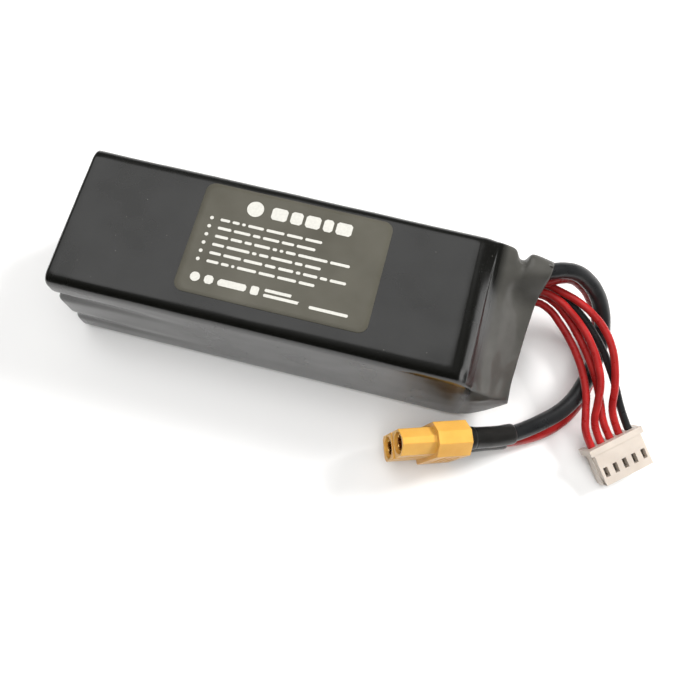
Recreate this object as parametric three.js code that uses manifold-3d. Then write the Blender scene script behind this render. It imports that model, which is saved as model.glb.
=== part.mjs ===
// Lithium-polymer battery pack: four pouch cells in a shrink wrap, with a power plug and a balance plug.
// Millimetres, +Z up. The origin is on the floor under the middle of the wrapped pack.
// The leads leave at +X.

import * as THREE from 'three';
import { mergeVertices } from 'three/addons/utils/BufferGeometryUtils.js';
import Module from 'manifold-3d';

const wasm = await Module();
wasm.setup();

// ---- driving dimensions ----

const FILM = 0.45;
const WRAP_CORNER = 2.9;
const WRAP_TOP = 28.8;
// Sections of the outside of the wrap from the open rear end to the front edge: how far along the pack,
// half the width, the lowest and the highest point.
const WRAP_SECTIONS = [
  { x: -54, halfWidth: 11, low: 6.9, high: 21.9, corner: 1.7 },
  { x: -54, halfWidth: 15.5, low: 2, high: 26.8, corner: 2.4 },
  { x: -53.4, halfWidth: 16.9, low: 0.6, high: 28.2, corner: WRAP_CORNER },
  { x: -52, halfWidth: 17.5, low: 0, high: WRAP_TOP, corner: WRAP_CORNER },
  { x: 36.9, halfWidth: 17.5, low: 0, high: WRAP_TOP, corner: WRAP_CORNER },
  { x: 38.9, halfWidth: 17.4, low: 0.1, high: 28, corner: WRAP_CORNER },
  { x: 40.3, halfWidth: 17.3, low: 0.5, high: 26.3, corner: WRAP_CORNER },
];
// Where the two extra points of the top side lie on the body, as a share of the half width.
const TOP_POINTS = [0.65, 0.3];
// Corners of the pinched mouth, from the near lower one round to the near upper one.
const MOUTH = [
  [51.6, -13.4, 7.6], [51.8, 17.2, 8], [54, 17.5, 26.6],
  [54, 12.3, 26.4], [52.2, 5, 17.5], [51.3, -13.4, 11.6],
];
const MOUTH_CORNER = 1.9;

const CELL_COUNT = 4;
const CELL = {
  rearX: -52.4, length: 88, width: 32.4, thickness: 6.2, corner: 1.4, endTaper: 0.9, baseZ: 1.3,
};
const CELL_TERRACE = { length: 3.4, width: 30, thickness: 0.6, rootDepth: 1 };
const TAPE = { thickness: 0.3, length: 76, width: 26 };
const STACK_GAP = 0.1;
const CELL_PITCH = CELL.thickness + TAPE.thickness + 2 * STACK_GAP;
const TAB = { width: 7, thickness: 0.3, offsetY: 8.5, reach: 1.5, turn: 2.2 };

const GUARD = { rearX: -50, length: 84, width: 28, thickness: 0.23, lowZ: 0.85, highZ: 27.75 };
const BAND = {
  halfWidth: 16.55, thickness: 0.15, lowZ: 0.62, highZ: 28.23, corner: 2.2, length: 12,
  rearXs: [-40, 14],
};
const REAR_PAD = { x: -53.35, thickness: 0.6, halfWidth: 15, lowZ: 2.1, highZ: 26.7, corner: 2 };

const BOARD = {
  x: 41, thickness: 1, halfWidth: 14.7, bottom: 2.9, top: 24.2, lowTop: 19, shoulderY: 9,
};
const BOARD_COVER = { x: 42.4, thickness: 0.3, nearY: -14, farY: 0.2, bottom: 3.6, top: 10.5, corner: 1 };
const MAIN_JOINT = { baseRadius: 1.5, tipRadius: 1.1, height: 0.4 };
const BALANCE_JOINT = { baseRadius: 1.1, tipRadius: 0.8, height: 0.4 };
const JOINT_LIFT = 0.05;

const LABEL = {
  centreX: -4.3, centreY: 1.3, length: 43.1, width: 26.9, thickness: 0.15, corner: 2.2, lift: 0.05,
};

const MAIN_LEAD = { radius: 1.9, steps: 15 };
const BALANCE_WIRE = { radius: 0.9, steps: 10 };
const LEAD_SIDES = 8;

const POWER_PLUG = {
  position: [28.3, -30.3, 12.1], heading: 200.9, pitch: -14.5, lean: -4.1,
  rearLength: 8, noseLength: 8, width: 15.9, thickness: 8.1, chamfer: 2.6,
  noseWidth: 14, noseThickness: 6.4, noseChamfer: 2.2,
  slit: 1.1, slitDepth: 7, pitchZ: 7.2, bore: 2.55,
};
const CONTACT = {
  radius: 2.25, socket: 1.75, socketDepth: 10, frontX: -0.6, rearX: -16,
  cupRadius: 2, cup: 1.6, cupDepth: 5, cupEndX: -19.3,
};
const SLEEVE = { inner: 2.3, outer: 2.65, startX: -16.3, bendX: -19.6, routePoints: 2, steps: 4, sides: 12 };

const BALANCE_PLUG = {
  position: [82.4, -21.4, 2.8], heading: -50.1, pitch: 18, lean: 0,
  length: 9, bodyWidth: 12.4, bodyThickness: 5.2,
  flangeLength: 1.5, flangeWidth: 14, flangeThickness: 5.75,
  pitchY: 2.5, cavity: 1.9, windowLength: 2.2, windowWidth: 1.2, windowX: -2.9,
  ribWidth: 0.8, ribHeight: 0.27, ribY: 4.6,
};
const BALANCE_COUNT = 5;
const TERMINAL = {
  frontX: -0.6, size: 1.6, wall: 0.25, boxLength: 5.2, socketDepth: 4.4,
  crimpSize: 1.3, crimpLength: 2.4,
};

// How finely round shapes are drawn, and how far a cutting body reaches past the face that it cuts.
const ARC_STEPS = 4;
const JOINT_SIDES = 12;
const CONTACT_SIDES = 20;
const OVERSHOOT = 1;

// ---- routes of the free leads: from the board, through the mouth of the wrap, to the plugs ----

const NEGATIVE_ROUTE = [
  [43.2, 11, 22.6], [46.6, 12.4, 22.8], [50, 13.8, 22.9], [53.4, 14.8, 22.8], [56.6, 16.2, 22.1],
  [59.8, 17, 20.8], [63, 16.8, 18.6], [66, 15.6, 15.9], [68.4, 13.4, 13], [70, 10.4, 10.4],
  [70.7, 6.8, 8.4], [70.5, 2.9, 7.1], [69.7, -1.1, 6.5], [68.4, -5.1, 6.4], [66.6, -8.9, 6.5],
  [64, -12.3, 6.7], [60.9, -15.2, 7.1], [57.6, -17.9, 7.7], [54.3, -20.2, 8.6], [50.7, -22, 9.6],
  [47, -23.5, 10.7],
];
const POSITIVE_ROUTE = [
  [43.2, 11, 18.3], [46.6, 12.4, 18.5], [50, 13.8, 18.5], [53.4, 15, 18.3], [56.6, 16.9, 17.5],
  [59.8, 18.3, 16.1], [63, 18.5, 13.7], [66.2, 17.4, 10.9], [68.8, 15, 8.2], [70.7, 11.6, 5.8],
  [71.6, 7.6, 4], [71.4, 3.3, 2.9], [70.6, -1.1, 2.3], [69.4, -5.4, 2.2], [67.6, -9.5, 2.2],
  [65, -13.2, 2.2], [61.8, -16.2, 2.4], [58, -18.6, 2.7], [53.6, -20.5, 3], [49, -22.1, 3.3],
  [45.1, -23.6, 3.7],
];
const BALANCE_ROUTES = [
  [
    [43.2, 6, 10.2], [46.8, 8.5, 10.5], [50.2, 10.7, 10.7], [53.4, 12.1, 10.8], [56.8, 11.1, 10.9],
    [60, 8.1, 11], [62.9, 4.6, 11], [65.4, 0.9, 10.8], [67.5, -3, 10.2], [69.1, -7, 9.2],
    [70, -11, 8], [70.9, -14.8, 6.9], [72.9, -17.8, 5.7],
  ],
  [
    [43.2, 7.2, 14.8], [46.8, 9.8, 14.9], [50.4, 12.1, 14.9], [54, 13.2, 14.9], [57.7, 12.2, 15],
    [61.2, 9.8, 14.9], [64.5, 6.9, 14.5], [67.3, 3.5, 14], [69.7, -0.4, 13], [71.4, -4.5, 11.5],
    [71.9, -8.6, 9.7], [72.6, -12.6, 7.2], [74.8, -16.2, 5.7],
  ],
  [
    [43.2, 7.6, 12.3], [46.8, 10.1, 12.6], [50.4, 12.3, 12.7], [54, 13.4, 12.7], [57.6, 12.3, 12.6],
    [61, 9.6, 12.4], [64, 6.3, 12], [66.7, 2.8, 11.5], [69.1, -0.8, 10.7], [71.3, -4.3, 9.2],
    [73, -8, 8], [74.4, -11.4, 6.9], [76.7, -14.6, 5.7],
  ],
  [
    [43.2, 9.9, 15.2], [46.8, 12.4, 15], [50.4, 14.5, 14.8], [54.2, 15.3, 14.8], [58.2, 14.2, 15.2],
    [62.3, 12.4, 15.9], [66.2, 10, 15.9], [69.4, 7.2, 15.4], [71.9, 3.6, 14.6], [73.7, -0.5, 13],
    [74.9, -4.6, 10.9], [75.9, -8.8, 8], [78.6, -13, 5.7],
  ],
  [
    [43.2, 10.4, 12.4], [46.8, 12.6, 12.5], [50.4, 14.7, 12.5], [54, 15.6, 12.6], [57.5, 14.9, 12.8],
    [60.8, 13, 13.1], [63.9, 10.5, 13.3], [66.9, 7.6, 13.1], [69.8, 4.3, 12.5], [72.8, 0.5, 11],
    [75.5, -3.4, 9.1], [77.8, -7.4, 7.4], [80.6, -11.4, 5.7],
  ],
];

// ---- materials ----

function material(color, roughness, metalness = 0) {
  return new THREE.MeshStandardMaterial({ color, roughness, metalness });
}

const MATERIALS = {
  wrapFilm: material(0x2b2b2b, 0.25),
  label: material(0x55554b, 0.5),
  foil: material(0xc9ccd0, 0.35, 0.8),
  foamTape: material(0xf0f0ea, 0.9),
  nickel: material(0xbfc1c4, 0.3, 1),
  fishPaper: material(0x8f9a86, 0.8),
  polyimide: material(0xc07a1e, 0.35),
  board: material(0x1f5a34, 0.5),
  solder: material(0xb8babc, 0.35, 1),
  foamPad: material(0x3c3c3c, 0.95),
  blackSilicone: material(0x1d1d1e, 0.45),
  redSilicone: material(0xb0141c, 0.45),
  plugNylon: material(0xe9b33a, 0.45),
  gold: material(0xd8a640, 0.25, 1),
  whiteNylon: material(0xece8dc, 0.5),
  tinned: material(0xc5c3bd, 0.3, 1),
};

// ---- helpers ----

const object = new THREE.Group();

function addPiece(parent, name, geometry, pieceMaterial) {
  const mesh = new THREE.Mesh(geometry, pieceMaterial);
  mesh.name = name;
  parent.add(mesh);
  return mesh;
}

function toSolid(geometry) {
  const bare = geometry.clone();
  bare.deleteAttribute('normal');
  bare.deleteAttribute('uv');
  const merged = mergeVertices(bare);
  const vertProperties = new Float32Array(merged.attributes.position.array);
  const triVerts = new Uint32Array(merged.index.array);
  return new wasm.Manifold(new wasm.Mesh({ numProp: 3, vertProperties, triVerts }));
}

function toGeometry(solid) {
  const mesh = solid.getMesh();
  const geometry = new THREE.BufferGeometry();
  const positions = new Float32Array(mesh.vertProperties);
  geometry.setAttribute('position', new THREE.BufferAttribute(positions, 3));
  geometry.setIndex(new THREE.BufferAttribute(new Uint32Array(mesh.triVerts), 1));
  return geometry;
}

// A box given by its lowest and highest corners.
function boxBetween(low, high) {
  const size = high.map((value, axis) => value - low[axis]);
  const geometry = new THREE.BoxGeometry(...size);
  geometry.translate(...low.map((value, axis) => value + size[axis] / 2));
  return geometry;
}

function extrude(shape, depth) {
  return new THREE.ExtrudeGeometry(shape, { depth, bevelEnabled: false, curveSegments: ARC_STEPS });
}

// Extrudes a shape that is drawn in the YZ plane along X from startX.
function extrudeAlongX(shape, startX, length) {
  const geometry = extrude(shape, length);
  const axes = new THREE.Matrix4().makeBasis(
    new THREE.Vector3(0, 1, 0),
    new THREE.Vector3(0, 0, 1),
    new THREE.Vector3(1, 0, 0),
  );
  geometry.applyMatrix4(axes);
  geometry.translate(startX, 0, 0);
  return geometry;
}

function polygonShape(points) {
  return new THREE.Shape(points.map(([a, b]) => new THREE.Vector2(a, b)));
}

function roundedRectangle(lowA, lowB, highA, highB, radius) {
  const shape = new THREE.Shape();
  shape.moveTo(lowA + radius, lowB);
  shape.lineTo(highA - radius, lowB);
  shape.absarc(highA - radius, lowB + radius, radius, -Math.PI / 2, 0);
  shape.lineTo(highA, highB - radius);
  shape.absarc(highA - radius, highB - radius, radius, 0, Math.PI / 2);
  shape.lineTo(lowA + radius, highB);
  shape.absarc(lowA + radius, highB - radius, radius, Math.PI / 2, Math.PI);
  shape.lineTo(lowA, lowB + radius);
  shape.absarc(lowA + radius, lowB + radius, radius, Math.PI, 1.5 * Math.PI);
  return shape;
}

// An outline with rounded corners, as a fixed number of points, so that rings can be joined.
const CORNER_STEPS = 3;
const SIDE_STEPS = 3;

function roundedRing(corners, radius) {
  const points = corners.map((corner) => new THREE.Vector3(...corner));
  const ring = [];
  points.forEach((corner, i) => {
    const before = points.at(i - 1);
    const after = points[(i + 1) % points.length];
    const enter = corner.clone().add(before.clone().sub(corner).setLength(radius));
    const leave = corner.clone().add(after.clone().sub(corner).setLength(radius));
    const sideEnd = after.clone().add(corner.clone().sub(after).setLength(radius));
    ring.push(...new THREE.QuadraticBezierCurve3(enter, corner, leave).getPoints(CORNER_STEPS));
    for (let k = 1; k < SIDE_STEPS; k += 1) {
      ring.push(leave.clone().lerp(sideEnd, k / SIDE_STEPS));
    }
  });
  return ring;
}

// Moves a ring inward in the YZ plane and along X.
function insetRing(ring, distance, shiftX) {
  return ring.map((point, i) => {
    const before = ring.at(i - 1);
    const after = ring[(i + 1) % ring.length];
    const inward = new THREE.Vector3(0, before.z - after.z, after.y - before.y).setLength(distance);
    return point.clone().add(inward).add(new THREE.Vector3(shiftX, 0, 0));
  });
}

// Joins rings of equal point counts into one closed body.
// A loop of rings makes a body with a hole through it.
function joinRings(rings, isLoop) {
  const count = rings[0].length;
  const positions = rings.flat().flatMap((point) => [point.x, point.y, point.z]);
  const index = [];
  const spans = isLoop ? rings.length : rings.length - 1;
  for (let r = 0; r < spans; r += 1) {
    const here = r * count;
    const next = ((r + 1) % rings.length) * count;
    for (let i = 0; i < count; i += 1) {
      const j = (i + 1) % count;
      index.push(here + i, here + j, next + j, here + i, next + j, next + i);
    }
  }
  if (!isLoop) {
    const last = (rings.length - 1) * count;
    for (let i = 1; i < count - 1; i += 1) {
      index.push(0, i + 1, i);
      index.push(last, last + i, last + i + 1);
    }
  }
  const geometry = new THREE.BufferGeometry();
  geometry.setAttribute('position', new THREE.Float32BufferAttribute(positions, 3));
  geometry.setIndex(index);
  return geometry;
}

// A straight turned piece along X from a closed profile of [x, radius] points.
function turnAlongX(profile, sides) {
  const points = profile.map(([x, radius]) => new THREE.Vector2(radius, x));
  const geometry = new THREE.LatheGeometry(points, sides);
  geometry.rotateZ(-Math.PI / 2);
  return geometry;
}

function polygonOfSides(radius, sides, PathType) {
  const points = [];
  for (let i = 0; i < sides; i += 1) {
    const angle = (2 * Math.PI * i) / sides;
    points.push(new THREE.Vector2(radius * Math.cos(angle), radius * Math.sin(angle)));
  }
  return new PathType(points);
}

function sweep(shape, points, steps) {
  const extrudePath = new THREE.CatmullRomCurve3(points);
  return new THREE.ExtrudeGeometry(shape, { steps, extrudePath, bevelEnabled: false });
}

function leadAlong(route, { radius, steps }) {
  const points = route.map((point) => new THREE.Vector3(...point));
  return sweep(polygonOfSides(radius, LEAD_SIDES, THREE.Shape), points, steps);
}

// The move from a plug's own frame to the object's. In its own frame a plug mates along +X, and the
// origin is in the middle of the mating face.
function plugMatrix(plug) {
  const radians = [plug.lean, plug.pitch, plug.heading].map(THREE.MathUtils.degToRad);
  const rotation = new THREE.Matrix4().makeRotationFromEuler(new THREE.Euler(...radians, 'ZYX'));
  return rotation.setPosition(...plug.position);
}

// ---- shrink wrap ----

function wrapRing({ x, halfWidth, low, high, corner }) {
  const corners = [[x, -halfWidth, low], [x, halfWidth, low], [x, halfWidth, high]];
  TOP_POINTS.forEach((share) => corners.push([x, share * halfWidth, high]));
  corners.push([x, -halfWidth, high]);
  return roundedRing(corners, corner);
}

function buildWrap() {
  const bodyRings = WRAP_SECTIONS.map(wrapRing);
  const mouthRing = roundedRing(MOUTH, MOUTH_CORNER);
  const innerBody = bodyRings.map((ring, i) => {
    if (i === 0) {
      return insetRing(ring, 0, FILM);
    }
    return insetRing(ring, FILM, WRAP_SECTIONS[i].x < 0 ? FILM : 0);
  });
  const rings = [...bodyRings, mouthRing, insetRing(mouthRing, FILM, 0), ...innerBody.reverse()];
  addPiece(object, 'shrink_wrap', joinRings(rings, true), MATERIALS.wrapFilm);
}

function buildLabel() {
  const { centreX, centreY, length, width, thickness, corner, lift } = LABEL;
  const farX = centreX + length / 2;
  const farY = centreY + width / 2;
  const shape = roundedRectangle(centreX - length / 2, centreY - width / 2, farX, farY, corner);
  const geometry = extrude(shape, thickness);
  geometry.translate(0, 0, WRAP_TOP + lift);
  addPiece(object, 'label', geometry, MATERIALS.label);
}

// ---- cell stack ----

function cellGeometry(low) {
  const { rearX, length, width, thickness, corner, endTaper } = CELL;
  const frontX = rearX + length;
  const ring = (x, inset) => {
    const halfWidth = width / 2 - inset;
    const high = low + thickness - inset;
    const corners = [
      [x, -halfWidth, low + inset],
      [x, halfWidth, low + inset],
      [x, halfWidth, high],
      [x, -halfWidth, high],
    ];
    return roundedRing(corners, corner);
  };
  const rearRings = [ring(rearX, endTaper), ring(rearX + endTaper, 0)];
  const frontRings = [ring(frontX - endTaper, 0), ring(frontX, endTaper)];
  const body = toSolid(joinRings([...rearRings, ...frontRings], false));
  const terrace = CELL_TERRACE;
  const middle = low + thickness / 2;
  const seam = boxBetween(
    [frontX - terrace.rootDepth, -terrace.width / 2, middle - terrace.thickness / 2],
    [frontX + terrace.length, terrace.width / 2, middle + terrace.thickness / 2],
  );
  return toGeometry(body.add(toSolid(seam)));
}

// A nickel tab that leaves the seam of a cell and turns down against the board.
function tabGeometry(centreY, middle) {
  const { width, thickness, reach, turn } = TAB;
  const rear = CELL.rearX + CELL.length + CELL_TERRACE.length + STACK_GAP;
  const front = rear + reach;
  const bar = boxBetween(
    [rear, centreY - width / 2, middle - thickness / 2],
    [front, centreY + width / 2, middle + thickness / 2],
  );
  const leg = boxBetween(
    [front - thickness, centreY - width / 2, middle - turn],
    [front, centreY + width / 2, middle],
  );
  return toGeometry(toSolid(bar).add(toSolid(leg)));
}

function buildStack() {
  for (let i = 0; i < CELL_COUNT; i += 1) {
    const low = CELL.baseZ + i * CELL_PITCH;
    const middle = low + CELL.thickness / 2;
    const label = `cell_${i + 1}`;
    const positiveY = i % 2 === 0 ? TAB.offsetY : -TAB.offsetY;
    addPiece(object, label, cellGeometry(low), MATERIALS.foil);
    addPiece(object, `${label}_tab_positive`, tabGeometry(positiveY, middle), MATERIALS.nickel);
    addPiece(object, `${label}_tab_negative`, tabGeometry(-positiveY, middle), MATERIALS.nickel);
    if (i < CELL_COUNT - 1) {
      const tapeLow = low + CELL.thickness + STACK_GAP;
      const rear = CELL.rearX + (CELL.length - TAPE.length) / 2;
      const tape = boxBetween(
        [rear, -TAPE.width / 2, tapeLow],
        [rear + TAPE.length, TAPE.width / 2, tapeLow + TAPE.thickness],
      );
      addPiece(object, `cell_tape_${i + 1}`, tape, MATERIALS.foamTape);
    }
  }
}

function buildGuards() {
  const { rearX, length, width, thickness } = GUARD;
  [['bottom_guard', GUARD.lowZ], ['top_guard', GUARD.highZ]].forEach(([name, low]) => {
    const sheet = boxBetween([rearX, -width / 2, low], [rearX + length, width / 2, low + thickness]);
    addPiece(object, name, sheet, MATERIALS.fishPaper);
  });
  BAND.rearXs.forEach((bandRear, i) => {
    const bandSection = (inset) => {
      const halfWidth = BAND.halfWidth - inset;
      return roundedRectangle(
        -halfWidth,
        BAND.lowZ + inset,
        halfWidth,
        BAND.highZ - inset,
        BAND.corner - inset,
      );
    };
    const shape = bandSection(0);
    shape.holes.push(bandSection(BAND.thickness));
    const band = extrudeAlongX(shape, bandRear, BAND.length);
    addPiece(object, `stack_band_${i + 1}`, band, MATERIALS.polyimide);
  });
  const pad = REAR_PAD;
  const padShape = roundedRectangle(-pad.halfWidth, pad.lowZ, pad.halfWidth, pad.highZ, pad.corner);
  addPiece(object, 'rear_pad', extrudeAlongX(padShape, pad.x, pad.thickness), MATERIALS.foamPad);
}

// ---- board with its solder joints ----

function jointGeometry([, y, z], { baseRadius, tipRadius, height }) {
  const base = BOARD.x + BOARD.thickness + JOINT_LIFT;
  const profile = [[base, 0], [base, baseRadius], [base + height, tipRadius], [base + height, 0]];
  const geometry = turnAlongX(profile, JOINT_SIDES);
  geometry.translate(0, y, z);
  return geometry;
}

function buildBoard() {
  const { x, thickness, halfWidth, bottom, top, lowTop, shoulderY } = BOARD;
  const outline = polygonShape([
    [-halfWidth, bottom],
    [halfWidth, bottom],
    [halfWidth, top],
    [shoulderY, top],
    [-halfWidth, lowTop],
  ]);
  addPiece(object, 'balance_board', extrudeAlongX(outline, x, thickness), MATERIALS.board);
  const cover = BOARD_COVER;
  const coverShape = roundedRectangle(cover.nearY, cover.bottom, cover.farY, cover.top, cover.corner);
  const insulator = extrudeAlongX(coverShape, cover.x, cover.thickness);
  addPiece(object, 'board_insulator', insulator, MATERIALS.fishPaper);
  const joints = [
    ['negative', NEGATIVE_ROUTE, MAIN_JOINT],
    ['positive', POSITIVE_ROUTE, MAIN_JOINT],
    ...BALANCE_ROUTES.map((route, i) => [`balance_${i + 1}`, route, BALANCE_JOINT]),
  ];
  joints.forEach(([name, route, size]) => {
    addPiece(object, `solder_joint_${name}`, jointGeometry(route[0], size), MATERIALS.solder);
  });
}

// ---- leads ----

function buildLeads() {
  const { blackSilicone, redSilicone } = MATERIALS;
  addPiece(object, 'main_lead_negative', leadAlong(NEGATIVE_ROUTE, MAIN_LEAD), blackSilicone);
  addPiece(object, 'main_lead_positive', leadAlong(POSITIVE_ROUTE, MAIN_LEAD), redSilicone);
  BALANCE_ROUTES.forEach((route, i) => {
    const isNegative = i === BALANCE_COUNT - 1;
    const insulation = isNegative ? blackSilicone : redSilicone;
    addPiece(object, `balance_wire_${i + 1}`, leadAlong(route, BALANCE_WIRE), insulation);
  });
}

// ---- power plug ----

function chamferedShape(width, thickness, chamfer) {
  const y = thickness / 2;
  const z = width / 2;
  return polygonShape([
    [-y, -z],
    [y, -z],
    [y, z - chamfer],
    [y - chamfer, z],
    [chamfer - y, z],
    [-y, z - chamfer],
  ]);
}

function powerHousingGeometry() {
  const plug = POWER_PLUG;
  const rearX = -plug.noseLength - plug.rearLength;
  const rearShape = chamferedShape(plug.width, plug.thickness, plug.chamfer);
  const noseShape = chamferedShape(plug.noseWidth, plug.noseThickness, plug.noseChamfer);
  const block = toSolid(extrudeAlongX(rearShape, rearX, plug.rearLength));
  const noseRear = -plug.noseLength - OVERSHOOT;
  const nose = toSolid(extrudeAlongX(noseShape, noseRear, -noseRear));
  const slit = boxBetween(
    [-plug.slitDepth, -plug.thickness, -plug.slit / 2],
    [OVERSHOOT, plug.thickness, plug.slit / 2],
  );
  let solid = block.add(nose).subtract(toSolid(slit));
  [-1, 1].forEach((side) => {
    const boreRear = rearX - OVERSHOOT;
    const profile = [[boreRear, 0], [boreRear, plug.bore], [OVERSHOOT, plug.bore], [OVERSHOOT, 0]];
    const bore = turnAlongX(profile, CONTACT_SIDES);
    bore.translate(0, 0, (side * plug.pitchZ) / 2);
    solid = solid.subtract(toSolid(bore));
  });
  return toGeometry(solid);
}

function contactGeometry() {
  const { radius, socket, socketDepth, frontX, rearX, cupRadius, cup, cupDepth, cupEndX } = CONTACT;
  const profile = [
    [cupEndX + cupDepth, 0],
    [cupEndX + cupDepth, cup],
    [cupEndX, cup],
    [cupEndX, cupRadius],
    [rearX, cupRadius],
    [rearX, radius],
    [frontX, radius],
    [frontX, socket],
    [frontX - socketDepth, socket],
    [frontX - socketDepth, 0],
  ];
  return turnAlongX(profile, CONTACT_SIDES);
}

function sleeveGeometry(route, offsetZ, matrix) {
  const start = new THREE.Vector3(SLEEVE.startX, 0, offsetZ).applyMatrix4(matrix);
  const bend = new THREE.Vector3(SLEEVE.bendX, 0, offsetZ).applyMatrix4(matrix);
  const along = route.slice(-1 - SLEEVE.routePoints, -1).reverse();
  const points = [start, bend, ...along.map((point) => new THREE.Vector3(...point))];
  const shape = polygonOfSides(SLEEVE.outer, SLEEVE.sides, THREE.Shape);
  shape.holes.push(polygonOfSides(SLEEVE.inner, SLEEVE.sides, THREE.Path));
  return sweep(shape, points, SLEEVE.steps);
}

function buildPowerPlug() {
  const matrix = plugMatrix(POWER_PLUG);
  const housing = powerHousingGeometry().applyMatrix4(matrix);
  addPiece(object, 'power_plug_housing', housing, MATERIALS.plugNylon);
  const poles = [['negative', 1, NEGATIVE_ROUTE], ['positive', -1, POSITIVE_ROUTE]];
  poles.forEach(([pole, side, route]) => {
    const offsetZ = (side * POWER_PLUG.pitchZ) / 2;
    const contact = contactGeometry().translate(0, 0, offsetZ).applyMatrix4(matrix);
    addPiece(object, `power_contact_${pole}`, contact, MATERIALS.gold);
    const sleeve = sleeveGeometry(route, offsetZ, matrix);
    addPiece(object, `contact_sleeve_${pole}`, sleeve, MATERIALS.blackSilicone);
  });
}

// ---- balance plug ----

function cavityOffset(i) {
  return (i - (BALANCE_COUNT - 1) / 2) * BALANCE_PLUG.pitchY;
}

function balanceHousingGeometry() {
  const plug = BALANCE_PLUG;
  const y = plug.bodyWidth / 2;
  const z = plug.bodyThickness / 2;
  const flangeY = plug.flangeWidth / 2;
  const flangeZ = plug.flangeThickness / 2;
  const body = boxBetween([-plug.length, -y, -z], [0, y, z]);
  const flangeFront = plug.flangeLength - plug.length;
  const flange = boxBetween([-plug.length, -flangeY, -flangeZ], [flangeFront, flangeY, flangeZ]);
  let solid = toSolid(body).add(toSolid(flange));
  [-1, 1].forEach((side) => {
    const low = side * plug.ribY - plug.ribWidth / 2;
    const rib = boxBetween([-plug.length, low, 0], [0, low + plug.ribWidth, z + plug.ribHeight]);
    solid = solid.add(toSolid(rib));
  });
  for (let i = 0; i < BALANCE_COUNT; i += 1) {
    const centre = cavityOffset(i);
    const half = plug.cavity / 2;
    const cavity = boxBetween(
      [-plug.length - OVERSHOOT, centre - half, -half],
      [OVERSHOOT, centre + half, half],
    );
    const window = boxBetween(
      [plug.windowX - plug.windowLength / 2, centre - plug.windowWidth / 2, 0],
      [plug.windowX + plug.windowLength / 2, centre + plug.windowWidth / 2, z + OVERSHOOT],
    );
    solid = solid.subtract(toSolid(cavity)).subtract(toSolid(window));
  }
  return toGeometry(solid);
}

function terminalGeometry() {
  const { frontX, size, wall, boxLength, socketDepth, crimpSize, crimpLength } = TERMINAL;
  const half = size / 2;
  const crimpHalf = crimpSize / 2;
  const boxRear = frontX - boxLength;
  const box = boxBetween([boxRear, -half, -half], [frontX, half, half]);
  const crimp = boxBetween(
    [boxRear - crimpLength, -crimpHalf, -crimpHalf],
    [boxRear + wall, crimpHalf, crimpHalf],
  );
  const socketHalf = half - wall;
  const socket = boxBetween(
    [frontX - socketDepth, -socketHalf, -socketHalf],
    [frontX + OVERSHOOT, socketHalf, socketHalf],
  );
  return toGeometry(toSolid(box).add(toSolid(crimp)).subtract(toSolid(socket)));
}

function buildBalancePlug() {
  const matrix = plugMatrix(BALANCE_PLUG);
  const housing = balanceHousingGeometry().applyMatrix4(matrix);
  addPiece(object, 'balance_plug_housing', housing, MATERIALS.whiteNylon);
  for (let i = 0; i < BALANCE_COUNT; i += 1) {
    const terminal = terminalGeometry().translate(0, cavityOffset(i), 0).applyMatrix4(matrix);
    addPiece(object, `balance_terminal_${i + 1}`, terminal, MATERIALS.tinned);
  }
}

buildWrap();
buildLabel();
buildStack();
buildGuards();
buildBoard();
buildLeads();
buildPowerPlug();
buildBalancePlug();

export default object;
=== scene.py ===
"""Looks of the lithium polymer battery pack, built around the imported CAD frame. Lengths are in metres."""

import math

import bmesh
import bpy
from mathutils import Euler, Matrix, Vector, noise


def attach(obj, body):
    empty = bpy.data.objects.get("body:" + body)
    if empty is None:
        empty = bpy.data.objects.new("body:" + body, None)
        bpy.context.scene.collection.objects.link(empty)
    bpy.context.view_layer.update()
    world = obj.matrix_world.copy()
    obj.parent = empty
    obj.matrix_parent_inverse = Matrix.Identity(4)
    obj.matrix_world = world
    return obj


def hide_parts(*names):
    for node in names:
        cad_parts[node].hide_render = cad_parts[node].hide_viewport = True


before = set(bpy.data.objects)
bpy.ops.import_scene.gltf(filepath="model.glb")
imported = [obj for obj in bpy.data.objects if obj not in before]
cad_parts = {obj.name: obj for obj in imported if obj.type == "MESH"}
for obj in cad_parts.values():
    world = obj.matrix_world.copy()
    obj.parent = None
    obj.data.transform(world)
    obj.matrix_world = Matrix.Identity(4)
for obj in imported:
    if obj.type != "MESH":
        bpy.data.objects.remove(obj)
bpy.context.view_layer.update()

MM = 0.001
ROOT = "root"

# ---- camera ----

CAMERA_AT = Vector((26.8, -63.5, 178.0)) * MM
CAMERA_TARGET = Vector((12.55, -7.1, 0.0)) * MM
CAMERA_ROLL = math.radians(0.08)
CAMERA_LENS = 38.57
CAMERA_SENSOR = 36.0


def make_camera():
    data = bpy.data.cameras.new("camera")
    data.lens = CAMERA_LENS
    data.sensor_width = CAMERA_SENSOR
    data.clip_start = 0.005
    data.clip_end = 20.0
    camera = bpy.data.objects.new("camera", data)
    bpy.context.scene.collection.objects.link(camera)
    look = (CAMERA_TARGET - CAMERA_AT).to_track_quat("-Z", "Y")
    camera.rotation_mode = "QUATERNION"
    camera.rotation_quaternion = look @ Euler((0, 0, CAMERA_ROLL)).to_quaternion()
    camera.location = CAMERA_AT
    bpy.context.scene.camera = camera


# ---- routes of the free leads, in millimetres ----

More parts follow.
